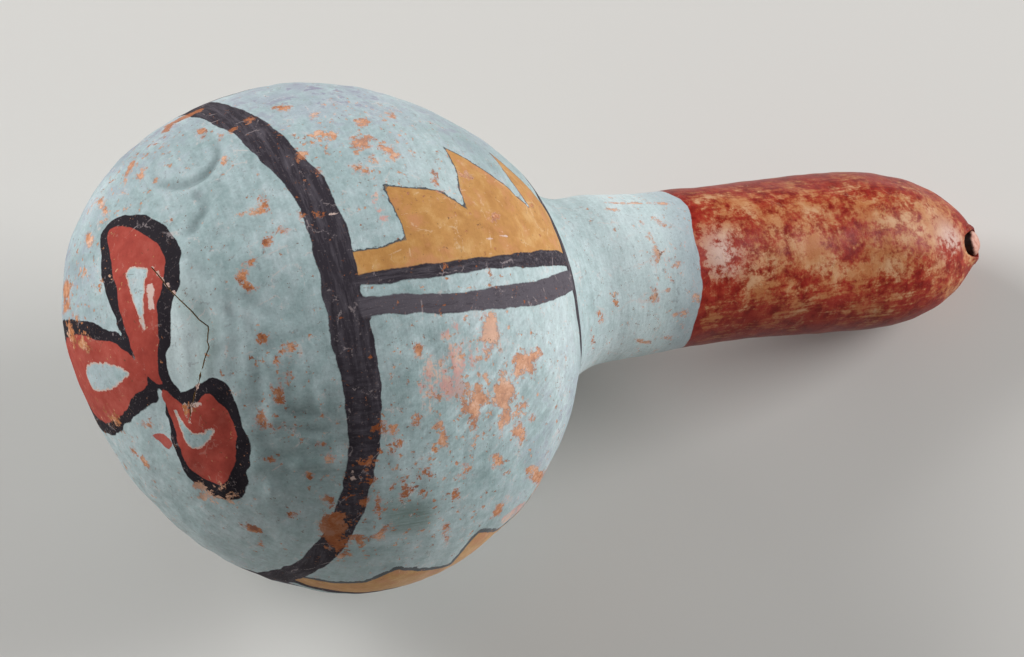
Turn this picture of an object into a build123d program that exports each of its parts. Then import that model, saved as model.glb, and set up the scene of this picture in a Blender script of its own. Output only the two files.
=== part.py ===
# Painted gourd rattle, lying on its side: a hollow bottle gourd whose own neck is the handle,
# the plug cut to fit its filling hole, the pitch that holds the plug, the dried stem and the pebbles.
# Millimetres, +Z up. The origin is the middle of the flat spot under the globe, +X runs towards the stem.
import os
from math import asin, cos, pi, radians, sin, sqrt, tan

from build123d import *

# Form of the gourd, with stations measured along its axis from the middle of the globe
globe_radius = 63.5
blossom_length = 62.5
shoulder_radius = 20.0
neck_radius = 20.8
bulb_radius = 21.5
bulb_station = 148.0
tip_length = 35.2
wall = 4.0

# The blossom end leans to one side, the neck bows to the same side, and the tip curls up square to the bow
blossom_lean = 9.0
neck_bow = 3.6
bow_start = 38.0
bow_angle = 64.0
tip_curl = 35.0

# Flat scar at the blossom end, flat seat of the stem, and the flat spot that the globe lies on
blossom_scar_radius = 8.0
stem_seat_radius = 6.0
ground_spot_depth = 0.8

# Filling hole: its place on the globe, its outline, the slant of the knife cut that carries the plug,
# how far off the globe the knife starts and how deep it goes, and the pitch in the cut
plug_from_blossom = 28.0
plug_around = 81.0
plug_slant = 12.0
plug_outline = [
    (10.2, 16.0),
    (22.6, -1.8),
    (20.9, -7.5),
    (14.6, -14.3),
    (7.3, -22.0),
    (-7.4, -22.0),
    (-17.4, -9.0),
    (-16.4, 5.0),
    (-5.4, 16.5),
]
knife_stand_off = 8.0
knife_reach = 21.0
pitch_gap = 0.6
pitch_sink = 0.5

# Dried stem in its socket, with the slit that opened beside it as it shrank
stem_radius = 3.4
stem_height = 2.6
stem_round = 1.6
socket_floor = 2.0
slit_radius = 3.2
slit_offset = 2.0
slit_depth = 2.0

# Pebbles: place on the floor of the chamber in plan, half length and half height
pebble_clearance = 0.35
pebbles = [
    (0.0, 0.0, 3.9, 2.8),
    (8.6, 1.4, 3.6, 2.6),
    (2.0, 9.0, 3.8, 2.9),
    (-7.4, 5.0, 3.5, 2.4),
    (-6.8, -5.2, 3.7, 2.7),
    (1.6, -8.8, 3.6, 2.8),
    (10.6, -7.2, 3.4, 2.5),
    (16.8, 4.4, 3.5, 2.6),
    (11.0, 11.4, 3.9, 2.7),
    (-6.6, 14.0, 3.6, 2.6),
    (-15.6, 1.0, 3.8, 2.8),
    (-5.4, -14.2, 3.7, 2.5),
]

# Circles that the form is lofted through: over the globe, round the shoulder and over the tip
globe_steps = 8
shoulder_steps = 2
tip_steps = 3


def resting_dip(height):
    """Angle at which the axis dips, so that the rounded tip meets the surface that the globe lies on."""
    spread = bulb_station**2 + bulb_radius**2 - tip_length**2
    reach = height * bulb_station
    return asin((reach - sqrt(reach**2 - spread * (height**2 - bulb_radius**2))) / spread)


centre_height = globe_radius - ground_spot_depth
globe_centre = Vector(0, 0, centre_height)
dip = resting_dip(centre_height)
axis_dir = Vector(cos(dip), 0, -sin(dip))
square_up = Vector(sin(dip), 0, cos(dip))
bow_dir = square_up * cos(radians(bow_angle)) + Vector(0, 1, 0) * sin(radians(bow_angle))
gourd_plane = Plane(origin=globe_centre, x_dir=bow_dir, z_dir=axis_dir)


def spine_shift(station):
    """Sideways shift of the gourd's middle line at a station."""
    if station < 0:
        return blossom_lean * (station / blossom_length) ** 2
    if station < bow_start:
        return 0.0
    return neck_bow * sin(pi * (station - bow_start) / (bulb_station - bow_start))


def section_plane(station):
    """Plane across the gourd at a station, square to its bowed and curled middle line."""
    share = max(station - bulb_station, 0) / tip_length
    curl = radians(tip_curl) * share**2
    rise = tip_length * tan(curl) * share / 3
    middle = gourd_plane.from_local_coords(Vector(spine_shift(station), rise, station))
    normal = gourd_plane.z_dir * cos(curl) + gourd_plane.y_dir * sin(curl)
    return Plane(origin=middle, x_dir=gourd_plane.x_dir, z_dir=normal)


def form_sections(inset):
    """Stations and radii of the form, drawn in by the inset: globe, shoulder, neck and rounded tip."""
    globe = globe_radius - inset
    blossom = blossom_length - inset
    shoulder = shoulder_radius + inset
    neck = neck_radius - inset
    bulb = bulb_radius - inset
    shoulder_station = sqrt((globe + shoulder) ** 2 - (neck + shoulder) ** 2)
    shoulder_turn = asin(shoulder_station / (globe + shoulder))
    scar_turn = asin(blossom_scar_radius / globe)
    sections = []
    for step in range(globe_steps + 1):
        turn = scar_turn + (pi / 2 + shoulder_turn - scar_turn) * step / globe_steps
        length = blossom if turn < pi / 2 else globe
        sections.append((-length * cos(turn), globe * sin(turn)))
    for step in range(1, shoulder_steps + 1):
        turn = shoulder_turn * (1 - step / shoulder_steps)
        sections.append((shoulder_station - shoulder * sin(turn), neck + shoulder * (1 - cos(turn))))
    sections.append(((shoulder_station + bulb_station) / 2, neck))
    seat_turn = pi / 2 - asin(stem_seat_radius / bulb)
    for step in range(tip_steps + 1):
        turn = seat_turn * step / tip_steps
        sections.append((bulb_station + (tip_length - inset) * sin(turn), bulb * cos(turn)))
    return sections


def form_circles(inset):
    """The circles, strung on the middle line, that the form is lofted through."""
    circles = []
    for station, radius in form_sections(inset):
        with BuildSketch(section_plane(station)) as circle:
            Circle(radius)
        circles.append(circle.sketch)
    return circles


# The filling hole's plane stands clear of the globe, square to it, with its x axis towards the neck
plug_tilt = radians(plug_from_blossom)
plug_turn = radians(plug_around)
plug_point = Vector(sin(plug_tilt) * cos(plug_turn), sin(plug_tilt) * sin(plug_turn), -cos(plug_tilt))
plug_dir = gourd_plane.from_local_coords(plug_point) - globe_centre
plug_plane = Plane(
    origin=globe_centre + plug_dir * (globe_radius + knife_stand_off),
    x_dir=axis_dir - plug_dir * axis_dir.dot(plug_dir),
    z_dir=plug_dir,
)
cut_depth = knife_stand_off + knife_reach


def plug_face(gap):
    """The knife's outline, widened to its plane by the slant and drawn in by a gap."""
    with BuildSketch(plug_plane) as face:
        Polygon(*plug_outline, align=None)
        offset(amount=knife_stand_off * tan(radians(plug_slant)) - gap, kind=Kind.INTERSECTION)
    return face.sketch


# The stem's socket goes into the tip as far as the floor that is left above the chamber
stem_station = form_sections(0)[-1][0]
chamber_end = form_sections(wall)[-1][0]
stem_plane = section_plane(stem_station)
socket_depth = stem_station - chamber_end - socket_floor

with BuildPart() as gourd_shell:
    loft(form_circles(0))
    loft(form_circles(wall), mode=Mode.SUBTRACT)
    split(bisect_by=Plane.XY, keep=Keep.TOP)
    extrude(plug_face(0), amount=-cut_depth, taper=plug_slant, mode=Mode.SUBTRACT)
    with BuildSketch(stem_plane):
        Circle(stem_radius)
    extrude(amount=-socket_depth, mode=Mode.SUBTRACT)
    with BuildSketch(stem_plane):
        with Locations((0, slit_offset)):
            Circle(slit_radius)
    extrude(amount=-slit_depth, mode=Mode.SUBTRACT)

with BuildPart() as filling_plug:
    loft(form_circles(0))
    loft(form_circles(wall), mode=Mode.SUBTRACT)
    extrude(plug_face(pitch_gap), amount=-cut_depth, taper=plug_slant, mode=Mode.INTERSECT)

with BuildPart() as pitch_seam:
    loft(form_circles(pitch_sink))
    loft(form_circles(wall), mode=Mode.SUBTRACT)
    extrude(plug_face(0), amount=-cut_depth, taper=plug_slant, mode=Mode.INTERSECT)
    extrude(plug_face(pitch_gap), amount=-cut_depth, taper=plug_slant, mode=Mode.SUBTRACT)

with BuildPart() as stem_stub:
    with BuildSketch(stem_plane.offset(-socket_depth)):
        Circle(stem_radius)
    extrude(amount=socket_depth + stem_height)
    stem_end = stem_stub.faces().sort_by(Axis(stem_plane.origin, stem_plane.z_dir))[-1]
    fillet(stem_end.edges(), radius=stem_round)

os.makedirs("parts", exist_ok=True)
for name, piece in (
    ("gourd_shell", gourd_shell),
    ("filling_plug", filling_plug),
    ("pitch_seam", pitch_seam),
    ("stem_stub", stem_stub),
):
    piece.part.label = name
    export_step(piece.part, f"parts/{name}.step")

# Each pebble lies flat on the floor of the chamber, with its short axis towards the middle of the globe
chamber_radius = globe_radius - wall
for number, (x, y, half_length, half_height) in enumerate(pebbles, start=1):
    drop = sqrt((chamber_radius - half_height - pebble_clearance) ** 2 - x**2 - y**2)
    middle = globe_centre + Vector(x, y, -drop)
    short_dir = globe_centre - middle
    long_dir = Vector(0, 1, 0).cross(short_dir)
    with BuildPart() as pebble:
        with BuildSketch(Plane(origin=middle, x_dir=long_dir, z_dir=long_dir.cross(short_dir))):
            with BuildLine():
                Spline((0, -half_height), (half_length, 0), (0, half_height), tangents=((1, 0), (-1, 0)))
                Line((0, half_height), (0, -half_height))
            make_face()
        revolve(axis=Axis(middle, short_dir))
    pebble.part.label = f"pebble_{number:02d}"
    export_step(pebble.part, f"parts/pebble_{number:02d}.step")
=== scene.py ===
# Looks of the painted gourd rattle: the rind with its dents and wrinkles, the fitted plug and its pitch,
# the dried stem, the pebbles, and the worn paint. Sizes are in millimetres until a mesh is made in metres.
from functools import partial
from math import asin, cos, pi, radians, sin, sqrt, tan

import bmesh
import bpy
import numpy as np
from mathutils import Matrix, Vector


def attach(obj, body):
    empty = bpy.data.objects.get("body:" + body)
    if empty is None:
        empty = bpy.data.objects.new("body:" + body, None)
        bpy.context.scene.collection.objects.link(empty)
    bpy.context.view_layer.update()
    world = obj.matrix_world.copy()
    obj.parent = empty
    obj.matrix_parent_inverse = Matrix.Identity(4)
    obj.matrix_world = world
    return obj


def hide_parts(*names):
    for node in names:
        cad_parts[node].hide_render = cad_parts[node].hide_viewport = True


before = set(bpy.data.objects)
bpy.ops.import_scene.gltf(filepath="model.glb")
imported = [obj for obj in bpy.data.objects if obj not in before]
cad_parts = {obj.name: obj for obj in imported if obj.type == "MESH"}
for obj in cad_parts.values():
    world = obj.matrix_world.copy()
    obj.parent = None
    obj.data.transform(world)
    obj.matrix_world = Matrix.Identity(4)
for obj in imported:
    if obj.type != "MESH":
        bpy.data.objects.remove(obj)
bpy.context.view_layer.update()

MM = 0.001

# The gourd's form, as in the part's source
globe_radius = 63.5
blossom_length = 62.5
shoulder_radius = 20.0
neck_radius = 20.8
bulb_radius = 21.5
bulb_station = 148.0
tip_length = 35.2
wall = 4.0
blossom_lean = 9.0
neck_bow = 3.6
bow_start = 38.0
bow_angle = radians(64.0)
tip_curl = radians(35.0)
ground_spot_depth = 0.8
stem_seat_radius = 6.0

# The filling plug's place, outline and slant, as in the part's source
plug_from_blossom = radians(28.0)
plug_around = radians(81.0)
plug_slant = radians(12.0)
plug_outline = [(10.2, 16.0), (22.6, -1.8), (20.9, -7.5), (14.6, -14.3), (7.3, -22.0),
                (-7.4, -22.0), (-17.4, -9.0), (-16.4, 5.0), (-5.4, 16.5)]
knife_stand_off = 8.0
knife_reach = 21.0

# The dried plug has shrunk to one side: its gap at each side of the outline, and how deep the pitch lies
plug_gaps = [0.3, 0.3, 0.28, 0.26, 0.02, 0.02, 0.02, 0.02, 0.02]
open_sides = [0, 1, 2, 3]
pitch_sink = 0.7

centre_height = globe_radius - ground_spot_depth
spread = bulb_station**2 + bulb_radius**2 - tip_length**2
reach = centre_height * bulb_station
dip = asin((reach - sqrt(reach**2 - spread * (centre_height**2 - bulb_radius**2))) / spread)
globe_centre = np.array([0.0, 0.0, centre_height])
axis_dir = np.array([cos(dip), 0.0, -sin(dip)])
square_up = np.array([sin(dip), 0.0, cos(dip)])
bow_dir = square_up * cos(bow_angle) + np.array([0.0, 1.0, 0.0]) * sin(bow_angle)
face_dir = np.cross(axis_dir, bow_dir)
gourd_axes = np.stack([axis_dir, bow_dir, face_dir])

shoulder_station = sqrt((globe_radius + shoulder_radius) ** 2 - (neck_radius + shoulder_radius) ** 2)
shoulder_turn = asin(shoulder_station / (globe_radius + shoulder_radius))
globe_end = globe_radius * (pi / 2 + shoulder_turn)
neck_start = globe_end + shoulder_radius * shoulder_turn
tip_start = neck_start + bulb_station - shoulder_station
# Way over the rounded tip to its pole
tip_arc = 45.5
# Rounds that find the curled tip's stations, and the small steps that normals are measured over
curl_rounds = 12
step_mm, step_deg = 0.02, 0.05


def along_of(station, radius):
    """Way along the skin from the blossom pole, for points given by station and radius."""
    length = np.where(station < 0, blossom_length, globe_radius)
    globe = globe_radius * np.arctan2(radius / globe_radius, -station / length)
    back = np.clip((shoulder_station - station) / shoulder_radius, -1, 1)
    shoulder = globe_end + shoulder_radius * (shoulder_turn - np.arcsin(back))
    neck = neck_start + station - shoulder_station
    tip = tip_start + tip_arc * 2 / pi * np.arctan2((station - bulb_station) / tip_length, radius / bulb_radius)
    globe_limit = globe_radius * sin(shoulder_turn)
    along = np.where(station < globe_limit, globe, shoulder)
    along = np.where(station > shoulder_station, neck, along)
    return np.where(station > bulb_station, tip, along)


def profile(along):
    """Station and radius of the plain form at ways along the skin from the blossom pole."""
    turn = along / globe_radius
    length = np.where(turn < pi / 2, blossom_length, globe_radius)
    station = -length * np.cos(turn)
    radius = globe_radius * np.sin(turn)
    bend = shoulder_turn - (along - globe_end) / shoulder_radius
    on_shoulder = along > globe_end
    station = np.where(on_shoulder, shoulder_station - shoulder_radius * np.sin(bend), station)
    radius = np.where(on_shoulder, neck_radius + shoulder_radius * (1 - np.cos(bend)), radius)
    on_neck = along > neck_start
    share = np.clip((along - neck_start) / (tip_start - neck_start), 0, 1)
    station = np.where(on_neck, shoulder_station + along - neck_start, station)
    radius = np.where(on_neck, neck_radius + (bulb_radius - neck_radius) * share**2, radius)
    on_tip = along > tip_start
    rise = np.clip((along - tip_start) / tip_arc, 0, 1) * pi / 2
    station = np.where(on_tip, bulb_station + tip_length * np.sin(rise), station)
    return station, np.where(on_tip, bulb_radius * np.cos(rise), radius)


def spine_shift(station):
    """Sideways shift of the gourd's middle line."""
    bow = neck_bow * np.sin(pi * (station - bow_start) / (bulb_station - bow_start))
    shift = np.where(station < 0, blossom_lean * (station / blossom_length) ** 2, 0.0)
    return np.where(station > bow_start, bow, shift)


def tip_bend(station):
    """Turn and rise of the middle line where the tip curls up."""
    share = np.clip((station - bulb_station) / tip_length, 0, 1)
    turn = tip_curl * share**2
    return turn, tip_length * np.tan(turn) * share / 3


def gourd_coords(points):
    """Axis, bow and face coordinates, way along the skin and angle round it, for points in the frame."""
    local = (points - globe_centre) @ gourd_axes.T
    station = local[:, 0]
    for _ in range(curl_rounds):
        curl, rise = tip_bend(station)
        station = local[:, 0] + (local[:, 2] - rise) * np.tan(curl)
    curl, rise = tip_bend(station)
    across = local[:, 1] - spine_shift(station)
    lift = (local[:, 2] - rise) / np.cos(curl)
    return local, along_of(station, np.hypot(across, lift)), np.degrees(np.arctan2(lift, across))


def skin_points(along, around):
    """Points of the plain form in the frame."""
    station, radius = profile(along)
    turn = np.radians(around)
    curl, rise = tip_bend(station)
    lift = radius * np.sin(turn)
    local = np.stack([station - lift * np.sin(curl), spine_shift(station) + radius * np.cos(turn),
                      rise + lift * np.cos(curl)], axis=1)
    return globe_centre + local @ gourd_axes


def skin_normals(along, around):
    """Outward normals of the plain form."""
    run = skin_points(along + step_mm, around) - skin_points(along - step_mm, around)
    turn = skin_points(along, around + step_deg) - skin_points(along, around - step_deg)
    normal = np.cross(turn, run)
    return normal / np.linalg.norm(normal, axis=1)[:, None]


def waves(points, size, seed, count=36):
    """Smooth lumps of about a given size with unit spread, a sum of plane waves."""
    rng = np.random.default_rng(seed)
    ways = rng.normal(size=(count, 3))
    ways *= (2 * pi / size * rng.uniform(0.6, 1.4, count) / np.linalg.norm(ways, axis=1))[:, None]
    phases = rng.uniform(0, 2 * pi, count)
    total = np.zeros(len(points))
    for way, phase in zip(ways, phases):
        total += np.cos(points @ way + phase)
    return total / sqrt(count / 2)


def gap_to(along, around, place):
    """Distance over the globe's skin to a place given by way along and degrees around."""
    turn = np.radians(around - place[1])
    lift_a, lift_b = along / globe_radius, place[0] / globe_radius
    cos_gap = np.cos(lift_a) * np.cos(lift_b) + np.sin(lift_a) * np.sin(lift_b) * np.cos(turn)
    return globe_radius * np.arccos(np.clip(cos_gap, -1, 1))


def hump(along, around, place, size):
    """A smooth hump of one unit on the globe's skin."""
    return np.exp(-((gap_to(along, around, place) / size) ** 2))


def neck_hump(along, around, place, size, spread_deg):
    """A smooth hump of one unit on the neck, with a reach along it and a reach in degrees."""
    turn = (around - place[1] + 180) % 360 - 180
    return np.exp(-(((along - place[0]) / size) ** 2) - (turn / spread_deg) ** 2)


def patches(along, around, places):
    """The strongest of several humps, each given as way along, degrees around, reach and strength."""
    total = np.zeros(len(along))
    for place_along, place_around, size, strength in places:
        total = np.maximum(total, strength * hump(along, around, (place_along, place_around), size))
    return total


def line_gap(points, line):
    """Distance from points on a flat chart to a drawn line."""
    best = np.full(len(points), np.inf)
    for a, b in zip(np.array(line, dtype=float)[:-1], np.array(line, dtype=float)[1:]):
        side, way = b - a, points - a
        share = np.clip(way @ side / (side @ side), 0, 1)
        best = np.minimum(best, np.linalg.norm(way - share[:, None] * side, axis=1))
    return best


# Slow swellings of the globe: way along, degrees around, reach and height
swellings = [(128, 165, 34, 1.5), (130, 20, 32, -1.7), (20, -60, 28, 0.2), (30, 180, 28, -2.3), (76, 168, 24, -2.0),
             (150, 125, 22, 0.9), (70, -90, 40, -0.6), (100, 100, 36, 0.3)]
# Swellings of the shoulder, neck and tip: way along, degrees around, reach along, reach in degrees and height
neck_swellings = [(188, 20, 9, 45, 2.4), (232, 10, 34, 45, -1.7), (284, 20, 12, 50, 0.2), (301, 92, 4, 45, -1.6)]
# Small dents: way along, degrees around, reach and depth
dents = [(59, 50, 2.6, 0.35), (61, 64, 1.6, 0.5), (57, 84, 4.0, 0.35), (66, 66, 2.0, 0.3), (74, 112, 5.0, 0.25),
         (90, 95, 4.0, 0.2)]
# Creases of the dried skin on the blossom chart, which has the pole at (0, 0), the first coordinate towards the
# bow and the second towards the face: the line, its width and its depth
creases = [([(38.2, 45.0), (36.5, 47.5), (33.8, 48.8), (31.2, 48.2), (27.3, 47.4)], 1.5, 0.75),
           ([(12, 45.5), (7, 50), (1.5, 54.8), (-4, 54.4), (-13, 49.5)], 1.7, 0.5),
           ([(9, 62), (4, 67)], 1.2, 0.35), ([(5, 58), (0, 63), (-6, 66)], 1.2, 0.35),
           ([(-27, 62), (-31, 70)], 1.2, 0.3), ([(-40, 56), (-44, 68)], 1.2, 0.3),
           ([(-22, 62), (-26, 72)], 1.2, 0.3), ([(20, 48), (14, 54)], 1.2, 0.35)]
scar_place, scar_radius, scar_width, scar_depth = (60.5, 35), 8.8, 1.1, 1.0
# How clear the scar is at its middle and at its faint upper side, and the degrees over which it fades
scar_clear, scar_faint, scar_fade = 0.55, 0.15, 16
# Lumps all over the skin: height, size and seed
skin_lumps = [(0.24, 46, 1), (0.11, 19, 2), (0.04, 7, 3)]
# Wrinkles across the globe and ridges along it: their height all over and in the places where they gather, and
# these places as way along, degrees around, reach and share
fold_height, gathered_fold, fold_places = 0.045, 0.17, [(60, 95, 22, 1.0), (62, 128, 20, 0.6)]
ridge_height, gathered_ridge, ridge_places = 0.02, 0.13, [(74, 118, 18, 1.0), (100, 138, 18, 0.5)]
# Dried flutes along the neck, and the ways over which the globe's wrinkles end and these flutes start
flute_height, flute_size = 0.16, 16
wrinkle_end, flute_start = 20, 15


def on_chart(along, around):
    """Points on the blossom chart."""
    turn = np.radians(around)
    return np.stack([along * np.cos(turn), along * np.sin(turn)], 1)


def scar(along, around):
    """The healed ring scar, clear on its lower side."""
    gap = gap_to(along, around, scar_place)
    lower_side = np.clip(scar_clear + (around - scar_place[1]) / scar_fade, scar_faint, 1)
    return lower_side * np.exp(-(((gap - scar_radius) / scar_width) ** 2))


def grooves(along, around):
    """Depth in mm of the narrow grooves, which the paint darkens as dirt and as painted shade."""
    depth = scar_depth * scar(along, around)
    chart = on_chart(along, around)
    for line, width, deep in creases:
        depth = np.maximum(depth, deep * np.exp(-((line_gap(chart, line) / width) ** 2)))
    return depth


def relief(points, along, around):
    """Height of the real skin above the plain form."""
    height = np.zeros(len(points))
    for place_along, place_around, size, rise in swellings:
        height += rise * hump(along, around, (place_along, place_around), size)
    for place_along, place_around, size, spread_deg, rise in neck_swellings:
        height += rise * neck_hump(along, around, (place_along, place_around), size, spread_deg)
    height += sum(rise * waves(points, size, seed) for rise, size, seed in skin_lumps)
    # wrinkles of the dried skin between the plug and the band, and fainter ones all over the globe
    local = (points - globe_centre) @ gourd_axes.T
    folds = waves(local * np.array([1.0, 0.3, 0.3]), 7.0, 4)
    folds += 0.6 * waves(local * np.array([1.0, 0.25, 0.25]), 3.6, 5)
    ridges = waves(local * np.array([0.3, 1.0, 1.0]), 6.0, 7)
    folded, ridged = (sum(share * hump(along, around, place, size) for *place, size, share in places)
                      for places in (fold_places, ridge_places))
    on_globe = np.clip((globe_end - along) / wrinkle_end, 0, 1)
    height += on_globe * (folds * (fold_height + gathered_fold * folded)
                          + ridges * (ridge_height + gathered_ridge * ridged))
    height -= grooves(along, around)
    for place_along, place_around, size, depth in dents:
        height -= depth * hump(along, around, (place_along, place_around), size)
    # dried flutes along the neck
    on_neck = np.clip((along - neck_start) / flute_start, 0, 1)
    height += on_neck * flute_height * waves(local * np.array([0.25, 1.0, 1.0]), flute_size, 6)
    return height


# How fine the skin's mesh is, how near its pole it starts, and the same for the chamber's wall, which ends at a
# share of the tip
ring_step, pole_gap = 1.0, 0.5
chamber_rows, chamber_pole_gap, chamber_tip_share = 90, 1.5, 0.68
segments = 384
angles = np.arange(segments) * 360.0 / segments


def closed_rings(rings, flip):
    """Points and faces of a closed skin from rows of ring points, with a fan at each end."""
    count, around = rings.shape[:2]
    faces = []
    for ring in range(count - 1):
        for step in range(around):
            here, beyond = ring * around + step, ring * around + (step + 1) % around
            faces.append((here, beyond, beyond + around, here + around))
    first, last = count * around, count * around + 1
    top = (count - 1) * around
    for step in range(around):
        beyond = (step + 1) % around
        faces.append((beyond, step, first))
        faces.append((top + step, top + beyond, last))
    points = np.concatenate([rings.reshape(-1, 3), rings[0].mean(0)[None], rings[-1].mean(0)[None]])
    return points, [tuple(reversed(face)) for face in faces] if flip else faces


# The stem's seat on the tip
seat_along = tip_start + tip_arc * 2 / pi * np.arccos(stem_seat_radius / bulb_radius)
seat_station = profile(np.array([seat_along]))[0]
seat_curl, seat_rise = (value[0] for value in tip_bend(seat_station))
seat_middle = globe_centre + np.array([seat_station[0], spine_shift(seat_station)[0], seat_rise]) @ gourd_axes
seat_out = axis_dir * cos(seat_curl) + face_dir * sin(seat_curl)
seat_side = face_dir * cos(seat_curl) - axis_dir * sin(seat_curl)

# The lip that puckers up round the stem, from its foot into the socket: radius, rise, and on the side where it
# gapes as a slit, how far it opens and sinks
lip_rows = [(5.5, 0.45, 0.2, 1.9), (5.0, 1.0, 0.6, 2.5), (4.5, 1.5, 1.0, 3.3), (4.0, 1.75, 1.3, 3.8),
            (3.7, 1.6, 1.5, 3.8), (3.6, 0.4, 1.2, 2.9), (3.5, -1.8, 0.4, 0.6)]
slit_middle, slit_spread = 92.0, 50.0

# The stem from its foot to its end: height above the seat and radius
stem_rows = [(-2.3, 3.1), (-1.0, 3.25), (0.4, 3.3), (1.2, 3.3), (1.8, 3.15), (2.2, 2.8), (2.45, 2.2), (2.5, 1.4),
             (2.3, 0.6)]
stem_segments = 64
# The stem's end slopes down to the slit, and the stem is lumpy by a share of its radius and by a height
stem_slope, stem_top = 0.24, 2.5
stem_swell, stem_lump = 0.05, 0.08


def ring_at_seat(radius, rise, turns):
    """A ring of points round the stem's seat."""
    spokes = np.cos(turns)[:, None] * bow_dir + np.sin(turns)[:, None] * seat_side
    return seat_middle + spokes * np.broadcast_to(radius, turns.shape)[:, None] + np.outer(
        np.broadcast_to(rise, turns.shape), seat_out)


def skin_grid(ways):
    """Ways along and degrees around for a full ring of points at each of several ways."""
    return np.repeat(ways, segments), np.tile(angles, len(ways))


def outer_rings(sink):
    """Rows of points of the real skin, sunk by a depth, from the blossom pole to the socket of the stem."""
    along, around = skin_grid(np.linspace(pole_gap, seat_along, int(seat_along / ring_step)))
    plain = skin_points(along, around)
    height = relief(plain, along, around) - sink
    rings = (plain + skin_normals(along, around) * height[:, None]).reshape(-1, segments, 3)
    gape = np.exp(-(((angles - slit_middle) / slit_spread) ** 2))
    lip = [ring_at_seat(radius + open_by * gape, rise - sunk * gape - sink, np.radians(angles))
           for radius, rise, open_by, sunk in lip_rows]
    return np.concatenate([rings, np.array(lip)])


def inner_rings():
    """Rows of points of the chamber's wall."""
    chamber_end = tip_start + chamber_tip_share * tip_arc
    along, around = skin_grid(np.linspace(chamber_pole_gap, chamber_end, chamber_rows))
    points = skin_points(along, around) - skin_normals(along, around) * wall
    return points.reshape(-1, segments, 3)


def new_piece(name, points, faces, materials, indices=None):
    """A smooth mesh object from points in mm."""
    mesh = bpy.data.meshes.new(name)
    mesh.from_pydata((np.asarray(points) * MM).tolist(), [], faces)
    for material in materials:
        mesh.materials.append(material)
    if indices is not None:
        mesh.polygons.foreach_set("material_index", np.asarray(indices, dtype=np.int32))
    mesh.polygons.foreach_set("use_smooth", np.ones(len(mesh.polygons), dtype=bool))
    mesh.validate()
    piece = bpy.data.objects.new(name, mesh)
    bpy.context.scene.collection.objects.link(piece)
    return piece


# Plane of the plug's outline on the globe
plug_local = np.array([-cos(plug_from_blossom), sin(plug_from_blossom) * cos(plug_around),
                       sin(plug_from_blossom) * sin(plug_around)])
plug_out = plug_local @ gourd_axes
plug_x = axis_dir - plug_out * (axis_dir @ plug_out)
plug_x /= np.linalg.norm(plug_x)
plug_y = np.cross(plug_out, plug_x)
plug_foot = globe_centre + plug_out * globe_radius

corners = np.array(plug_outline)
sides = np.roll(corners, -1, 0) - corners
side_lengths = np.linalg.norm(sides, axis=1)
inwards = np.stack([sides[:, 1], -sides[:, 0]], 1) / side_lengths[:, None]

# How far from the cut its distance is told
crack_reach = 9.0


def drawn_in(gaps):
    """The plug's outline with each side moved inwards by its gap."""
    level = np.einsum("ij,ij->i", inwards, corners) + gaps
    return np.array([np.linalg.solve(np.stack([inwards[i - 1], inwards[i]]), np.array([level[i - 1], level[i]]))
                     for i in range(len(corners))])


def crack_gap(points):
    """Distance from points of the skin to the open stretch of the plug's cut."""
    way = points - plug_foot
    flat = np.stack([way @ plug_x, way @ plug_y], 1)
    drawn = -(way @ plug_out) * tan(plug_slant)
    best = np.full(len(points), crack_reach)
    for side in open_sides:
        across = (flat - corners[side]) @ inwards[side] - drawn
        beyond = (flat - corners[side]) @ (sides[side] / side_lengths[side])
        past = np.maximum(np.maximum(-beyond, beyond - side_lengths[side]), 0)
        best = np.minimum(best, np.hypot(across, past))
    return np.where(way @ plug_out > -globe_radius / 2, best, crack_reach)


# The knife wandered a little: sideways shifts at steps along each side of the outline
cut_steps, knife_wander = 8, 0.13
wander = np.random.default_rng(51).normal(0.0, knife_wander, (len(plug_outline), cut_steps))
wander[:, 0] = 0.0


def knife_block(name, gaps, materials):
    """The block of rind that the slanted knife cuts, drawn in by a gap at each side. Its faces show bare rind."""
    points = []
    for height in (knife_stand_off, -knife_reach):
        outline = drawn_in(np.asarray(gaps) - height * tan(plug_slant))
        for side, (start, end) in enumerate(zip(outline, np.roll(outline, -1, 0))):
            for step in range(cut_steps):
                x, y = start + (end - start) * step / cut_steps + inwards[side] * wander[side, step]
                points.append(plug_foot + plug_x * x + plug_y * y + plug_out * height)
    count = len(points) // 2
    faces = [((i + 1) % count, (i + 1) % count + count, i + count, i) for i in range(count)]
    faces += [tuple(reversed(range(count))), tuple(range(count, 2 * count))]
    return new_piece(name, points, faces, materials, [1] * len(faces))


# Points nearer than this are one point
hair = 0.002 * MM


def without_slivers(mesh):
    """Joins points that the knife left a hair apart, and takes out triangles that lie back to back."""
    work = bmesh.new()
    work.from_mesh(mesh)
    bmesh.ops.remove_doubles(work, verts=work.verts, dist=hair)
    bmesh.ops.triangulate(work, faces=work.faces)
    work.verts.index_update()
    stacks = {}
    for face in work.faces:
        stacks.setdefault(frozenset(point.index for point in face.verts), []).append(face)
    slivers = [face for stack in stacks.values() if len(stack) > 1 for face in stack]
    bmesh.ops.delete(work, geom=slivers, context="FACES")
    work.to_mesh(mesh)
    work.free()


def cut(blank, block, operation, name):
    """The blank cut by the block, as a new object."""
    knife = blank.modifiers.new("knife", "BOOLEAN")
    knife.operation = operation
    knife.solver = "EXACT"
    knife.object = block
    depsgraph = bpy.context.evaluated_depsgraph_get()
    mesh = bpy.data.meshes.new_from_object(blank.evaluated_get(depsgraph))
    blank.modifiers.remove(knife)
    without_slivers(mesh)
    mesh.name = name
    piece = bpy.data.objects.new(name, mesh)
    bpy.context.scene.collection.objects.link(piece)
    return piece


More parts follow.
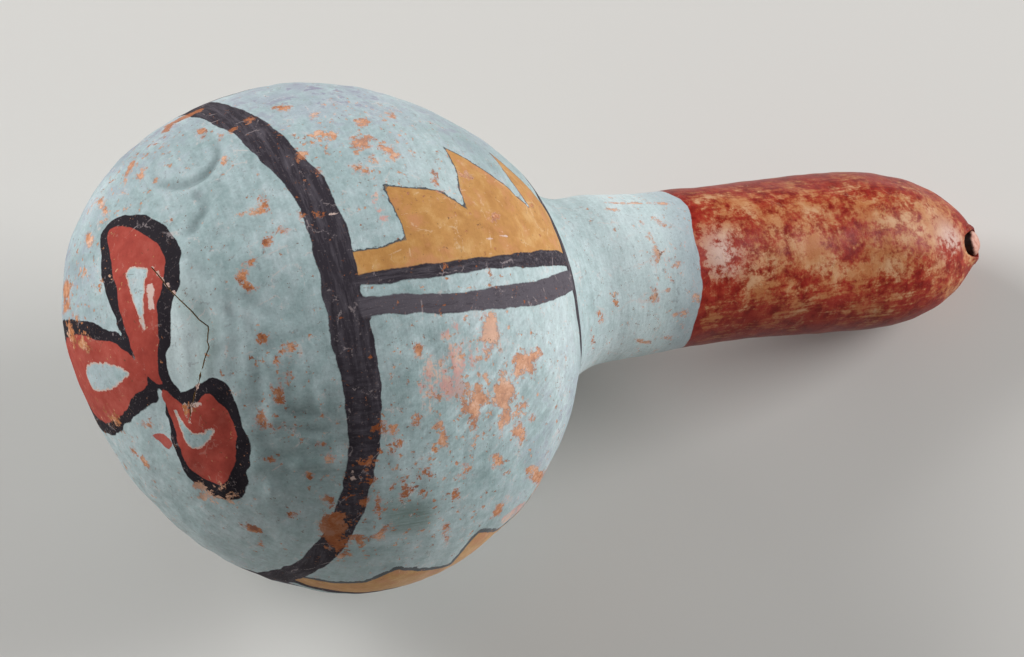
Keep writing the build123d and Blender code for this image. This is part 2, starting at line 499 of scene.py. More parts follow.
# The painter's outlines. The lobes and patches lie on the blossom chart, and the steps and stripes are given as
# (way along, degrees). The edges of the bands that run round the gourd are (degrees, way along).
lobes_black = [
    [(25, 16), (29, 19), (31, 23), (31, 31), (30, 36), (27, 41), (23, 45), (18, 46), (11, 46), (4, 43), (-2, 42),
     (-8, 39), (-12, 38), (-15, 41), (-17, 36), (-12, 33), (-5, 28), (0, 26), (5, 24), (12, 21), (18, 18)],
    [(-15, 41), (-13, 45), (-12, 50), (-13, 53), (-16, 54), (-20, 54), (-26, 53), (-31, 52), (-36, 48), (-40, 44),
     (-44, 40), (-45, 35), (-43, 30), (-40, 27.5), (-36, 26.5), (-31, 28), (-26, 29.5), (-21, 31.5), (-17, 33),
     (-14, 35)],
    [(-16, 32), (-17, 28), (-20, 20), (-22, 12), (-24, 3), (-24, -6), (-22, -15), (-17, -22), (-9, -26), (0, -24),
     (5, -17), (6, -8), (4.5, 4), (3.5, 12), (2, 19), (0, 26), (-5, 30), (-11, 34)],
]
lobes_red = [
    [(26, 19), (28, 22), (28, 26), (27, 30), (25, 35), (22, 40), (18, 42), (12, 41), (6, 39), (0, 39), (-6, 37),
     (-10, 35.5), (-13.5, 35.5), (-10, 31), (-5, 29), (0, 28), (5, 27), (10, 26), (16, 24), (22, 21)],
    [(-13, 35), (-17, 38), (-20, 40), (-17, 45), (-15, 48), (-18, 49.5), (-23, 51), (-28, 50), (-33, 46), (-38, 41),
     (-40, 36), (-38.5, 31.5), (-35, 29.3), (-30, 30.3), (-25, 32), (-20, 33), (-16, 33.2)],
    [(-12, 32), (-14, 28), (-15.5, 22), (-19, 14), (-20.5, 8), (-20.5, -2), (-19, -11), (-14, -18), (-8, -21),
     (-2, -19), (1, -12), (1.5, -3), (0.5, 8), (-1, 18), (-3, 25), (-6, 29)],
    [(-24.6, 21.8), (-24.3, 25.4), (-25.6, 28.2), (-27.8, 29.2), (-29.2, 26.4), (-28.3, 24.5), (-26.6, 24.1),
     (-25.6, 22.2)],
]
pale_patches = [
    [(16.0, 29.3), (16.8, 31.9), (16.4, 36.4), (14.7, 35.9), (12.7, 35.5), (10.3, 35.2), (7.6, 34.8), (-0.5, 34.8),
     (3.8, 33.5), (6.8, 32.4), (10.1, 30.9), (13.4, 29.8)],
    [(-7.8, 1.0), (-6.1, 6.2), (-6.5, 14.8), (-7.5, 21.3), (-9.3, 26.5), (-10.9, 22.2), (-12.9, 13.1), (-12.9, 3.1),
     (-11.4, 0.6)],
    [(-18.2, 35.5), (-21.1, 36.1), (-23.3, 36.6), (-24.3, 37.1), (-24.8, 37.9), (-25.7, 38.2), (-25.5, 39.9),
     (-26.4, 40.8), (-25.0, 42.8), (-24.4, 45.6), (-26.4, 43.8), (-28.0, 40.8), (-29.3, 37.6), (-29.3, 35.3),
     (-28.0, 34.2), (-25.7, 34.2), (-24.2, 34.7), (-22.2, 35.0)],
]
pink_patches = [
    [(12.6, 36.2), (12.9, 37.6), (10.4, 38.9), (8.3, 38.4), (6.2, 38.6), (5.6, 36.8), (7.5, 36.1)],
    [(-17.2, 39.4), (-17.6, 41.0), (-19.8, 40.2), (-22.2, 38.2), (-20.4, 38.3)],
    [(-17.6, 42.2), (-17.6, 44.8), (-19.0, 44.4), (-19.3, 41.9)],
    [(35.1, 74.8), (36.2, 77), (35.6, 77.4), (34, 75.6)],
    [(35.8, 78.6), (37.1, 79.8), (37.6, 81), (36.5, 81.2), (35.4, 79.1)],
    [(49.6, 72.1), (49.9, 72.5), (45.4, 74.5), (45.2, 74.4)],
    [(0.1, 105.4), (-0, 105.9), (-1.7, 106.2), (-1.7, 105.8)],
    [(3.4, 120.7), (3.2, 123.2), (1.9, 122.1)],
    [(3.6, 128.4), (4.5, 129.9), (0.6, 129.9), (0.2, 129.1)],
    [(-45, 69.2), (-45.4, 70.6), (-46.2, 70.1), (-45.7, 69)],
    [(-47.3, 68), (-47.8, 69.9), (-48.5, 69.5), (-48.1, 67.8)],
    [(53, 56.1), (54.5, 56.2), (53.8, 56.8)],
    [(29.5, 118.2), (33.2, 121.6), (33.4, 123), (30.8, 121.9)],
    [(34.6, 123.6), (38.9, 129.3), (37.4, 129.5), (34, 125.2)],
]
band_blossom_side = [(17, 70), (32, 73), (47, 76.3), (55, 79.4), (63, 80.9), (77, 80.8), (94, 80.5), (103, 81.9),
                     (116, 82.8), (128, 81.5), (145, 77.8), (165, 73.6), (200, 69), (240, 66.5), (280, 66),
                     (320, 67), (345, 68.5)]
band_neck_side = [(16, 78.1), (31, 81.8), (46, 85.1), (56, 88.8), (70, 89.9), (84, 89.5), (93, 90.5), (104, 90.6),
                  (118, 89.7), (134, 86.9), (149, 83.6), (164, 79.7), (200, 77.5), (240, 75.5), (280, 75),
                  (320, 75.5), (345, 76.6)]
steps_ochre = [(60, 75), (97, 75), (103, 74), (103, 70), (102, 64), (102, 61), (107, 62), (115, 63), (119, 65.5),
               (122, 68), (122, 64), (124, 56), (123, 49), (129, 51.5), (136, 56), (142, 59.5), (148, 63), (146, 58),
               (143, 50), (142, 42), (152, 48), (168, 60), (172, 77), (136, 79), (110, 81), (60, 81)]
steps_worn = [(60, 76), (86.6, 72.1), (93.6, 68.4), (96.8, 63.8), (99.6, 60.8), (103.5, 62.7), (110.1, 66.2),
              (115.5, 67.7), (117.3, 61.9), (118.7, 56.9), (120.2, 55.0), (123.4, 57.8), (128.8, 63.5), (133.8, 64.4),
              (138.3, 61.1), (142.2, 54.4), (147.1, 54.3), (152, 60), (168, 66), (172, 77), (136, 79), (110, 81),
              (60, 81)]
# The figure stands four times round: its turn, its outline and the width of its dark brush line
stepped_figures = [(0, steps_ochre, 0.32), (95, steps_worn, 1.35), (187, steps_ochre, 0.6), (276, steps_worn, 0.8)]
stripe_upper = [(60, 80), (96, 79.7), (110, 79.8), (125, 79.5), (136, 78), (150, 76.5), (171, 75.5), (171, 81.5),
                (141, 82), (122, 82), (111, 83.2), (100, 82.6), (60, 82)]
stripe_lower = [(60, 85), (98, 85), (104, 86), (116, 87), (126, 86), (140, 86), (154, 84), (171, 82.5), (171, 90.5),
                (151, 92), (132, 92), (113, 91), (98, 89.3), (92, 89), (60, 87.5)]
shoulder_ring = [(0, 163), (51, 162.5), (60, 164.5), (90, 165), (107, 165.5), (127, 167.5), (157, 170), (240, 169),
                 (300, 165)]
neck_paint_edge = [(0, 211), (21, 211.5), (45, 213), (76, 210.5), (111, 210.5), (140, 209.5), (172, 210.5),
                   (250, 211)]
# Length in mm that a degree around is taken as on a strip of the globe, and the turn at which the strip is parted
degree_length, strip_turn = 0.85, 110
strip_scale = np.array([1.0, degree_length])

# Small chips in the paint: way along, degrees around, half length, half width, turn from the axis
chips = [
    (48, 145, 2.5, 0.9, -65), (51, 145, 1.1, 0.5, -60), (54, 138, 1.1, 0.3, -61), (56, 140, 1.6, 0.6, -52),
    (22, 161, 2.1, 0.6, -79), (20, 166, 2.3, 0.6, -83), (6, 102, 5, 1.4, -11), (78, 131, 2.4, 1.2, 40),
    (121, 127, 2.3, 1.2, 70), (116, 60, 2.1, 0.8, -74), (130, 69, 1.6, 0.9, -29),
    (126, 57, 1.4, 0.7, 2), (27, 22, 3.2, 1.7, -78), (36, 19, 5, 0.9, -82), (13, -15, 4.6, 2.2, -59),
    (9, -14, 4.9, 1.5, -69), (68, 28, 1.6, 0.7, -81), (71, 69, 1, 0.7, -50), (75, 67, 0.9, 0.5, 13),
    (65, 92, 1.2, 0.9, -10), (71, 94, 1.4, 1.1, -13), (68, 97, 1, 0.6, -52), (70, 101, 1, 0.7, -27),
    (67, 105, 2.4, 1.1, -82), (67, 107, 1.2, 0.9, -22), (63, 112, 1.5, 0.9, -79), (64, 114, 1.7, 0.6, -14),
    (65, 123, 1.1, 0.6, 5), (74, 125, 1, 0.8, -34), (71, 138, 1, 0.6, -32), (63, 150, 2.1, 1.3, -17),
    (65, 155, 1.5, 0.8, 55), (33, 163, 1.8, 1.5, -62), (29, 167, 1.5, 0.8, -77), (31, 136, 1.6, 0.4, -44),
    (84, 65, 2.1, 0.4, 12), (86, 49, 1.7, 1.2, -71), (138, 142, 8.2, 1.4, 52), (124, 144, 3.2, 1.6, -78),
    (109, 143, 2.7, 0.8, 74), (44, 116, 1.6, 0.8, -80), (47, 114, 1.5, 0.4, -31),
    (199, 72, 3.5, 0.35, 88), (201, 95, 2, 0.6, 85), (204, 90, 1, 0.8, 0), (201, 106, 0.7, 0.6, 0),
    (203, 127, 1.1, 0.6, 50), (206, 127, 1.3, 0.7, 70), (206, 139, 1, 0.6, 60), (203, 150, 1, 0.6, 60),
    (196, 148, 2, 0.8, 50), (181, 114, 1.8, 0.7, 85), (178, 126, 2.5, 0.4, 80), (192, 40, 1.3, 1, 40),
    (208, 38, 1.8, 1, 60), (199, 34, 3.5, 0.4, 5), (203, 55, 1.6, 0.6, 70), (204, 79, 1.5, 0.3, 80),
    (209, 117, 1.4, 0.4, 85), (197, 110, 2.5, 0.3, 80),
]
# Flakes off the paint, pink worn places and a green-grey stain, as outlines of (way along, degrees)
flakes = [
    [(119.3, 92.1), (121.9, 91.7), (123.4, 92.4), (122.9, 96.2), (122.1, 98.9), (120.5, 99.1), (119.4, 98),
     (117.4, 97.5), (118.1, 95.1), (119.2, 94.1)],
    [(116.9, 100.1), (118.8, 99.9), (119.9, 100.8), (119.2, 101.6), (117.7, 100.9)],
    [(126.2, 103.4), (128.5, 102.2), (131.4, 103.1), (136.4, 103.2), (137.1, 104.9), (133.1, 106), (133.7, 108.3),
     (132.8, 109.6), (131.4, 107.4), (128.7, 107.9), (126.5, 108.1), (126.3, 105.9)],
    [(122.9, 105.6), (124.1, 107.8), (126, 109.5), (126.3, 112.6), (124.5, 113.3), (124.2, 115.7), (124.2, 118.1),
     (122.3, 119.7), (120.6, 117.7), (122.2, 114.6), (121.2, 112.9), (119.3, 111.6), (119.4, 109.5),
     (121.4, 108.1)],
    [(113.4, 108.5), (116.4, 109.1), (118.1, 110.6), (117.1, 111.8), (115.9, 112.3), (115.6, 113.8), (113.8, 113.9),
     (114.4, 116.2), (113.8, 117.5), (112.9, 116.1), (112.9, 113.9), (111, 112.5), (110.5, 111.1), (112.2, 111.4),
     (113.1, 110.2)],
    [(126.1, 120), (127.8, 119.9), (129.9, 122.7), (130.1, 124.5), (127.8, 124.4), (125.8, 122.1)],
    [(127.7, 114.5), (129.6, 114.1), (130.7, 115.5), (129.6, 116.5)],
    [(98.6, 110.6), (100.2, 110.6), (99.6, 112.5), (98.6, 113.3), (97.6, 112.4)],
    [(103.9, 113), (105.5, 113.3), (105.8, 114.5), (104.4, 114.5)],
    [(104.7, 115.7), (105.8, 115.7), (106, 116.9), (105.8, 118.8), (104.7, 118.5), (104.2, 116.8)],
    [(131.2, 118.5), (133.8, 120.7), (132.6, 121.3), (130.9, 119.7)],
    [(100.3, 96.7), (101.6, 96.7), (101.6, 98), (100.8, 98.3), (99, 97.2)],
    [(99.4, 47.2), (102.1, 46.7), (104.4, 46.5), (105.1, 47.6), (103.2, 48.3), (102.3, 49.6), (100.4, 49.9),
     (98.8, 49.4), (98.8, 48.2)],
    [(105, 50.2), (106.7, 49.8), (108.2, 50.7), (108.8, 52.7), (107.2, 54.2), (105.8, 54.3), (106.6, 52.8),
     (105.7, 51.7)],
    [(101.2, 52.8), (102.8, 52.9), (102.7, 53.8), (101.3, 53.7)],
    [(102.8, 40.6), (105.3, 40.1), (105.9, 41.3), (104.4, 42.2), (102.8, 42.3)],
    [(113, 36.2), (114.7, 35), (115.2, 36.7), (113.4, 38), (112.5, 37.7)],
    [(93.2, 35.1), (95.1, 35.3), (94, 37), (92.6, 37.3)],
    [(98.5, 55.2), (99.7, 55.6), (99, 56.8), (98.1, 56.4)],
    [(87.6, 53.4), (88.8, 53.2), (88.9, 54.5), (87.9, 55.6), (87.2, 54.9)],
    [(96.1, 55), (96.7, 54.9), (96.4, 56.1), (95.9, 56.3)],
    [(87.8, 112.1), (89, 111.3), (90.7, 111.6), (90.6, 113), (89.2, 113.3), (88, 112.9)],
    [(84.6, 120.2), (86, 119.4), (88.9, 120.1), (88.9, 121.2), (86.5, 121.2), (84.7, 120.8)],
    [(86.8, 125.2), (88.8, 125), (88.9, 126.3), (87.2, 126.3)],
    [(85.4, 131), (86.5, 130.1), (88, 130.1), (87.7, 131.8), (86.3, 132.5)],
    [(77.2, 136.8), (79.2, 135), (80.7, 133.9), (83.6, 134.7), (83.2, 137), (84.4, 138.5), (83.4, 140.3),
     (83.2, 142.4), (85.6, 143.6), (85.2, 145.6), (83.6, 147.4), (84.7, 149.3), (83.6, 150.9), (82.2, 147.7),
     (79.7, 144.7), (78.2, 142.4), (77.4, 139.4)],
    [(89.3, 129), (90.1, 129.1), (90.9, 132.2), (91.8, 133.7), (91.8, 135.5), (90.5, 135.1), (89.8, 132.4)],
    [(90.2, 140.3), (92, 139), (92.3, 137.7), (94, 137.6), (94, 138.9), (93.1, 139.4), (93.2, 141.8), (92.1, 142.8),
     (91, 141.7)],
    [(100.4, 123.5), (101.7, 123.2), (102.8, 124.4), (102.4, 125.5), (100.8, 125.1)],
    [(109, 127.8), (110.9, 127), (111.6, 125.3), (112.7, 125.2), (112.9, 126.5), (111.6, 128), (109.7, 128.5)],
    [(94.5, 125.1), (97.2, 124.7), (97.8, 125.6), (95.3, 126)],
    [(92.6, 127.1), (94.3, 126.2), (94.3, 126.8), (93.1, 127.6)],
    [(95.2, 128.7), (99, 128.1), (99.1, 128.8), (95.6, 129.5)],
    [(92.3, 112.4), (94, 112.1), (94.3, 113.3), (92.8, 113.8)],
    [(92.7, 116.6), (94.7, 115.9), (94.7, 117), (93.2, 117.6)],
    [(75.3, 116.8), (76.7, 115.6), (77.1, 116.1), (76, 117.3)],
    [(77.3, 120.4), (78.7, 118.4), (79.1, 119.7), (78.1, 121.1)],
    [(108.8, 131.1), (109.7, 131.4), (110.4, 133.9), (109.2, 133)],
    [(61.9, 13), (64.8, 8.6), (67.7, 10.4), (71.9, 11.4), (75.1, 12.8), (73.5, 14.9), (70.1, 15.4), (66.4, 11.6),
     (63.1, 15.8)],
    [(45.3, 20.5), (48.9, 16.4), (51.4, 15.5), (50.3, 20.1), (47.4, 20.8), (44.4, 24.5)],
    [(48.1, 24.8), (49.7, 26.1), (50.9, 25.3), (51.5, 27.8), (49.5, 29.4), (47.7, 30.2)],
    [(65.8, 59.7), (68.7, 59.8), (71.4, 60), (72.6, 58.6), (73.5, 59.4), (73.4, 60.9), (74.7, 62), (71.6, 61.6),
     (68.5, 60.4)],
    [(72.4, 57.4), (74.1, 57), (73.9, 57.8)],
    [(61.9, 76.1), (63.5, 73.8), (64.6, 74.8), (65.6, 73.5), (67.5, 72.7), (66.4, 74.4), (65.1, 75.6), (64.2, 77.9),
     (65.4, 78.8), (65.9, 79.6), (65.3, 80.9), (63.9, 80.9), (62.6, 79.5), (62.8, 77.7)],
    [(78.7, 30.4), (81.6, 29.7), (81.5, 31.3), (79, 32.6)],
    [(74, 33.2), (76.2, 32.1), (76, 33.3), (74, 34.1)],
    [(86.7, 28.7), (88.9, 27.8), (90.2, 29.5), (89.3, 31.1), (87.3, 30.8)],
    [(71, 32), (72, 34.1), (70.6, 35.1)],
    [(67.5, 43.3), (69.2, 40.6), (69.2, 41.6), (68, 44)],
]
pink_wear = [
    [(108.3, 97.2), (110.1, 97.9), (110.3, 100.1), (111.8, 101.7), (110.9, 104.6), (111.4, 108.5), (109.8, 108.6),
     (107.4, 107.8), (105.3, 106.3), (105, 104.5), (106.1, 103.6), (107.7, 103.4), (108.9, 102.5), (108.1, 100.6),
     (107.8, 98.9)],
    [(102.2, 99.7), (103.7, 99.5), (103.8, 101.3), (102.8, 103.3), (101.5, 103.1), (101.4, 101.4)],
    [(104.4, 100.1), (106, 100.1), (106.4, 101.2), (104.8, 101.2)],
    [(106.6, 94.4), (108.8, 94.3), (108.8, 95.8), (107.4, 96.2), (106.4, 95.4)],
    [(109.8, 93.3), (111.4, 93.3), (112.1, 94.3), (110.6, 94.7)],
    [(98.1, 62.8), (99.6, 62.5), (99.3, 64.1), (98.1, 65.4), (98.5, 66.4), (100.6, 65.8), (100.4, 66.4), (98.2, 67),
     (97.7, 65.4)],
    [(97.6, 68.2), (99.8, 68.2), (100.7, 68.8), (98.9, 69)],
    [(138.8, 151.6), (140.7, 145.4), (145.4, 144.3), (145.7, 146.6), (143.4, 152.6), (140.4, 155.3)],
    [(126.5, 149.2), (131.2, 149.3), (135.5, 150.3), (138.6, 157.1), (133.9, 156.5), (129.7, 155.3)],
]
green_stain = [(91, 130.8), (96, 131.5), (102.8, 132.6), (105.1, 135.6), (104.4, 139.2), (103.2, 141.1), (97.4, 141),
               (94.7, 140.3), (92.7, 136.8), (91.8, 133.7)]
# Areas of the globe and neck: way along, degrees around, reach and strength. They are worn through, hazed pink,
# stained, lilac or paler (partly paler paint, partly painted light), have peach or brown skin under the paint, slanting
# brush strokes, or lines along the gourd that are partly painted shade of its ridges
areas = {
    "wear": [(116, 108, 24, 1.0), (50, 18, 18, 0.8), (50, 146, 5, 1.9), (55, 142, 4, 1.7), (3, -20, 6, 1.7),
             (98, 130, 24, 0.85), (66, 105, 15, 0.6), (105, 45, 20, 0.8), (15, 20, 18, 0.8), (52, 143, 5, 1.3),
             (21, 164, 5, 1.2), (4, 60, 5, 1.2), (86, 145, 9, 1.1), (90, -60, 40, 0.8), (40, -120, 35, 0.7),
             (110, -140, 40, 0.8)],
    "haze": [(106, 104, 9, 1.3), (114, 100, 10, 1.0), (124, 98, 9, 0.7), (100, 35, 16, 0.5), (122, 66, 9, 0.6),
             (128, 142, 12, 0.7), (52, 120, 5, 0.4), (60, 12, 12, 0.5), (110, -60, 22, 0.6), (203, 100, 9, 0.5),
             (205, 55, 10, 0.5), (200, 140, 12, 0.45)],
    "stain": [(71, 116, 14, 0.3), (62, 145, 20, 0.15), (88, 150, 14, 0.2)],
    "lilac": [(102, 18, 26, 1.0), (60, 0, 26, 0.7), (20, -30, 24, 0.7), (135, 30, 18, 0.7), (150, 135, 22, 0.5),
              (90, 180, 24, 0.4)],
    "paler_and_painted_light": [(42, 92, 13, 1.3), (44, 80, 9, 1.1), (150, 95, 20, 0.8), (120, 60, 16, 0.5)],
    "peach": [(52, 143, 7, 0.9), (121, 97, 9, 1.0), (128, 112, 15, 0.6), (112, 106, 14, 0.5), (104, 46, 18, 0.45),
              (50, 20, 25, 0.4), (203, 98, 13, 0.9)],
    "brown": [(80, 138, 10, 1.0), (98, 132, 9, 0.7), (66, 110, 15, 0.6), (62, 14, 11, 0.9)],
    "stroked": [(118, 108, 28, 1.0), (140, 120, 20, 0.9), (60, 160, 30, 0.5), (105, 40, 20, 0.5)],
    "lines_and_ridge_shade": [(72, 118, 24, 1.0), (62, 92, 14, 0.5), (95, 140, 20, 0.8)],
}
# The hand on the neck: the side that its palm rubs, how much it rubs all round, how much it rubs the tip, and the pale
# spots, partly rubbed paint and partly painted highlight, as way along, degrees around, reach along and reach in
# degrees
palm_around, rubbed_all_round, rubbed_tip = 84, 0.05, 0.8
pale_wear_and_highlight_spots = [(217, 88, 5.5, 17), (tip_start + 27, 84, 7, 22)]
# How far the painter's hand wavers, as amount, size and seed, and how much of it shows in the lobes, red and bands
hand_waver = [(0.2, 9, 21), (0.16, 4.2, 22)]
red_waver, band_waver, line_waver = 0.8, 0.6, 0.4
# The steps and stripes start this far under the band. Distances from a coat are told as far out as far_out
under_band, far_out = 1.5, -9.0
# How strongly the drawn pink places and stain show, how worn the neck is, and how much paler its blue is made,
# partly as paint and partly as painted light
pink_strength, stain_strength, neck_wear, neck_paler_and_painted_light = 1.7, 0.9, 0.25, 0.8


def softened(outline):
    """A brush-drawn outline with its corners rounded off twice."""
    line = np.array(outline, dtype=float)
    for _ in range(2):
        beyond = np.roll(line, -1, 0)
        line = np.stack([line * 0.75 + beyond * 0.25, line * 0.25 + beyond * 0.75], 1).reshape(-1, 2)
    return line


def depth_inside(points, outline):
    """How far points lie inside an outline, and minus how far outside."""
    line = np.array(outline, dtype=float)
    depth = np.full(len(points), far_out)
    near = np.all((points > line.min(0) + far_out) & (points < line.max(0) - far_out), axis=1)
    x, y = points[near].T
    inside = np.zeros(len(x), dtype=bool)
    for (x1, y1), (x2, y2) in zip(line, np.roll(line, -1, 0)):
        if y1 != y2:
            crosses = (y1 > y) != (y2 > y)
            inside ^= crosses & (x < (x2 - x1) * (y - y1) / (y2 - y1) + x1)
    gap = line_gap(points[near], np.concatenate([line, line[:1]]))
    depth[near] = np.maximum(np.where(inside, gap, -gap), far_out)
    return depth


def deepest(points, outlines):
    """How far points lie inside any of several outlines, and minus how far outside all of them."""
    return np.maximum.reduce([depth_inside(points, outline) for outline in outlines])


def round_trip(around, keys):
    """A line drawn round the gourd through (degrees, way along) points."""
    degs, ways = np.array(keys, dtype=float).T
    degs = np.concatenate([degs - 360, degs, degs + 360])
    return np.interp(around, degs, np.tile(ways, 3))


def chip_depth(along, around):
    """How far points lie inside the small chips, which are ellipses, and minus how far outside."""
    depth = np.full(len(along), far_out)
    for place_along, place_around, half_length, half_width, tilt in chips:
        east = along - place_along
        gap = (around - place_around + 180) % 360 - 180
        north = np.radians(gap) * globe_radius * sin(min(place_along / globe_radius, 2.6))
        cos_tilt, sin_tilt = cos(radians(tilt)), sin(radians(tilt))
        reach_out = np.hypot((cos_tilt * east + sin_tilt * north) / half_length,
                             (cos_tilt * north - sin_tilt * east) / half_width)
        depth = np.maximum(depth, (1 - reach_out) * half_width)
    return depth


def paint(piece):
    """Writes where each coat of paint lies, as distances in mm, and how worn it is, on a piece's points."""
    mesh = piece.data
    points = np.empty(len(mesh.vertices) * 3)
    mesh.vertices.foreach_get("co", points)
    points = points.reshape(-1, 3) / MM
    local, along, around = gourd_coords(points)
    chart = on_chart(along, around)
    strip = np.stack([along, around * degree_length], 1)
    hand = sum(amount * waves(points, size, seed) for amount, size, seed in hand_waver)
    layers = {name: patches(along, around, places) for name, places in areas.items()}
    lobes, red, layers["pale"], layers["pink"] = (
        deepest(chart, [softened(outline) for outline in outlines])
        for outlines in (lobes_black, lobes_red, pale_patches, pink_patches))
    layers["red"] = red + red_waver * hand

    # the band and the shoulder ring, and between them the stepped figures and their stripes
    past_band = along - round_trip(around, band_neck_side)
    band = np.minimum(along - round_trip(around, band_blossom_side), -past_band)
    ring = along - round_trip(around, shoulder_ring)
    shown = np.minimum(-ring, past_band + under_band)
    ochre, outlined, dry, stripes = (np.full(len(points), far_out) for _ in range(4))
    for turned, steps, line_width in stepped_figures:
        turned_strip = np.stack([along, ((around - turned + strip_turn) % 360 - strip_turn) * degree_length], 1)
        inside, lower, upper = (depth_inside(turned_strip, outline * strip_scale) for outline in
                                (np.array(steps), softened(stripe_lower), softened(stripe_upper)))
        ochre = np.maximum(ochre, inside)
        outlined = np.maximum(outlined, inside + line_width)
        dry = np.maximum(dry, lower)
        stripes = np.maximum(stripes, upper)
    for name, depth in (("ochre", ochre), ("outline", outlined), ("dry", dry)):
        layers[name] = np.minimum(depth, shown)
    stripes = np.maximum(np.minimum(stripes, shown), layers["dry"])
    black = np.maximum(np.maximum(band + band_waver * hand, stripes + line_waver * hand), lobes + hand)
    layers["black"] = np.maximum(black, far_out)
    layers["ring"] = ring + line_waver * hand
    layers["neck"] = along - round_trip(around, neck_paint_edge) + line_waver * hand

    # chips, flakes, wear and dirt
    flaked, worn_pink, stained = (deepest(strip, [np.array(outline) * strip_scale for outline in outlines])
                                  for outlines in (flakes, pink_wear, [green_stain]))
    layers["chip"] = np.maximum(chip_depth(along, around), flaked + 0.05)
    layers["crack"] = crack_gap(points)
    layers["groove"] = grooves(along, around)
    for name, more in (("haze", pink_strength * np.clip(worn_pink + 0.8, 0, 1)),
                       ("stain", stain_strength * np.clip(stained / 4 + 0.5, 0, 1)),
                       ("wear", neck_wear * np.clip((along - globe_end - 12) / 15, 0, 1)),
                       ("lines_and_ridge_shade", np.clip(stripes + 0.5, 0, 1)),
                       ("paler_and_painted_light", neck_paler_and_painted_light * np.clip((along - globe_end) / 25, 0, 1))):
        layers[name] = np.maximum(layers[name], more)

    # the grip, and pale spots that are partly worn paint and partly painted highlight
    palm = np.clip(np.cos(np.radians(around - palm_around)), 0, 1) ** 1.5
    handled = rubbed_all_round + (1 - rubbed_all_round) * palm
    towards_tip = np.clip((along - tip_start - 8) / 16, 0, 1) * np.clip((seat_along - 2 - along) / 4, 0, 1)
    layers["grip"] = np.maximum(handled, rubbed_tip * towards_tip)
    layers["wear_and_highlight"] = np.maximum.reduce([neck_hump(along, around, place, size, spread_deg)
                                         for *place, size, spread_deg in pale_wear_and_highlight_spots])

    for name, values in layers.items():
        attribute = mesh.attributes.new(name, "FLOAT", "POINT")
        attribute.data.foreach_set("value", np.ascontiguousarray(values, dtype=np.float32))
    place = mesh.attributes.new("gourd_mm", "FLOAT_VECTOR", "POINT")
    place.data.foreach_set("vector", np.ascontiguousarray(local, dtype=np.float32).ravel())


def linear(code):
    """An sRGB hex colour as linear red, green, blue and alpha."""
    parts = [int(code[i:i + 2], 16) / 255 for i in (1, 3, 5)]
    return [p / 12.92 if p <= 0.04045 else ((p + 0.055) / 1.055) ** 2.4 for p in parts] + [1.0]


def fill(node, values=(), named=None):
    """Sets or links a node's inputs: values go to its live sockets in order, and named ones by name. A node among them
    gives its first live output, and a hex code is a colour."""
    pairs = list(zip([s for s in node.inputs if s.enabled], values))
    pairs += [(node.inputs[name], value) for name, value in (named or {}).items()]
    for socket, value in pairs:
        if isinstance(value, bpy.types.Node):
            value = next(s for s in value.outputs if s.enabled)
        if isinstance(value, bpy.types.NodeSocket):
            node.id_data.links.new(value, socket)
        else:
            socket.default_value = linear(value) if isinstance(value, str) else value


def add_node(tree, kind, *values, named=None, stops=(), **settings):
    """Adds a node with its settings, and fills its inputs. Stops of (position, colour) fill a colour ramp."""
    new = tree.nodes.new("ShaderNode" + kind)
    for key, value in settings.items():
        setattr(new, key, value)
    elements = new.color_ramp.elements if stops else []
    while len(elements) < len(stops):
        elements.new(0.5)
    for element, (position, code) in zip(elements, stops):
        element.position, element.color = position, linear(code)
    fill(new, values, named)
    return new


def fresh_material(name):
    """An empty material, what adds nodes to it, and its surface shader."""
    material = bpy.data.materials.new(name)
    material.use_nodes = True
    return material, partial(add_node, material.node_tree), material.node_tree.nodes["Principled BSDF"]


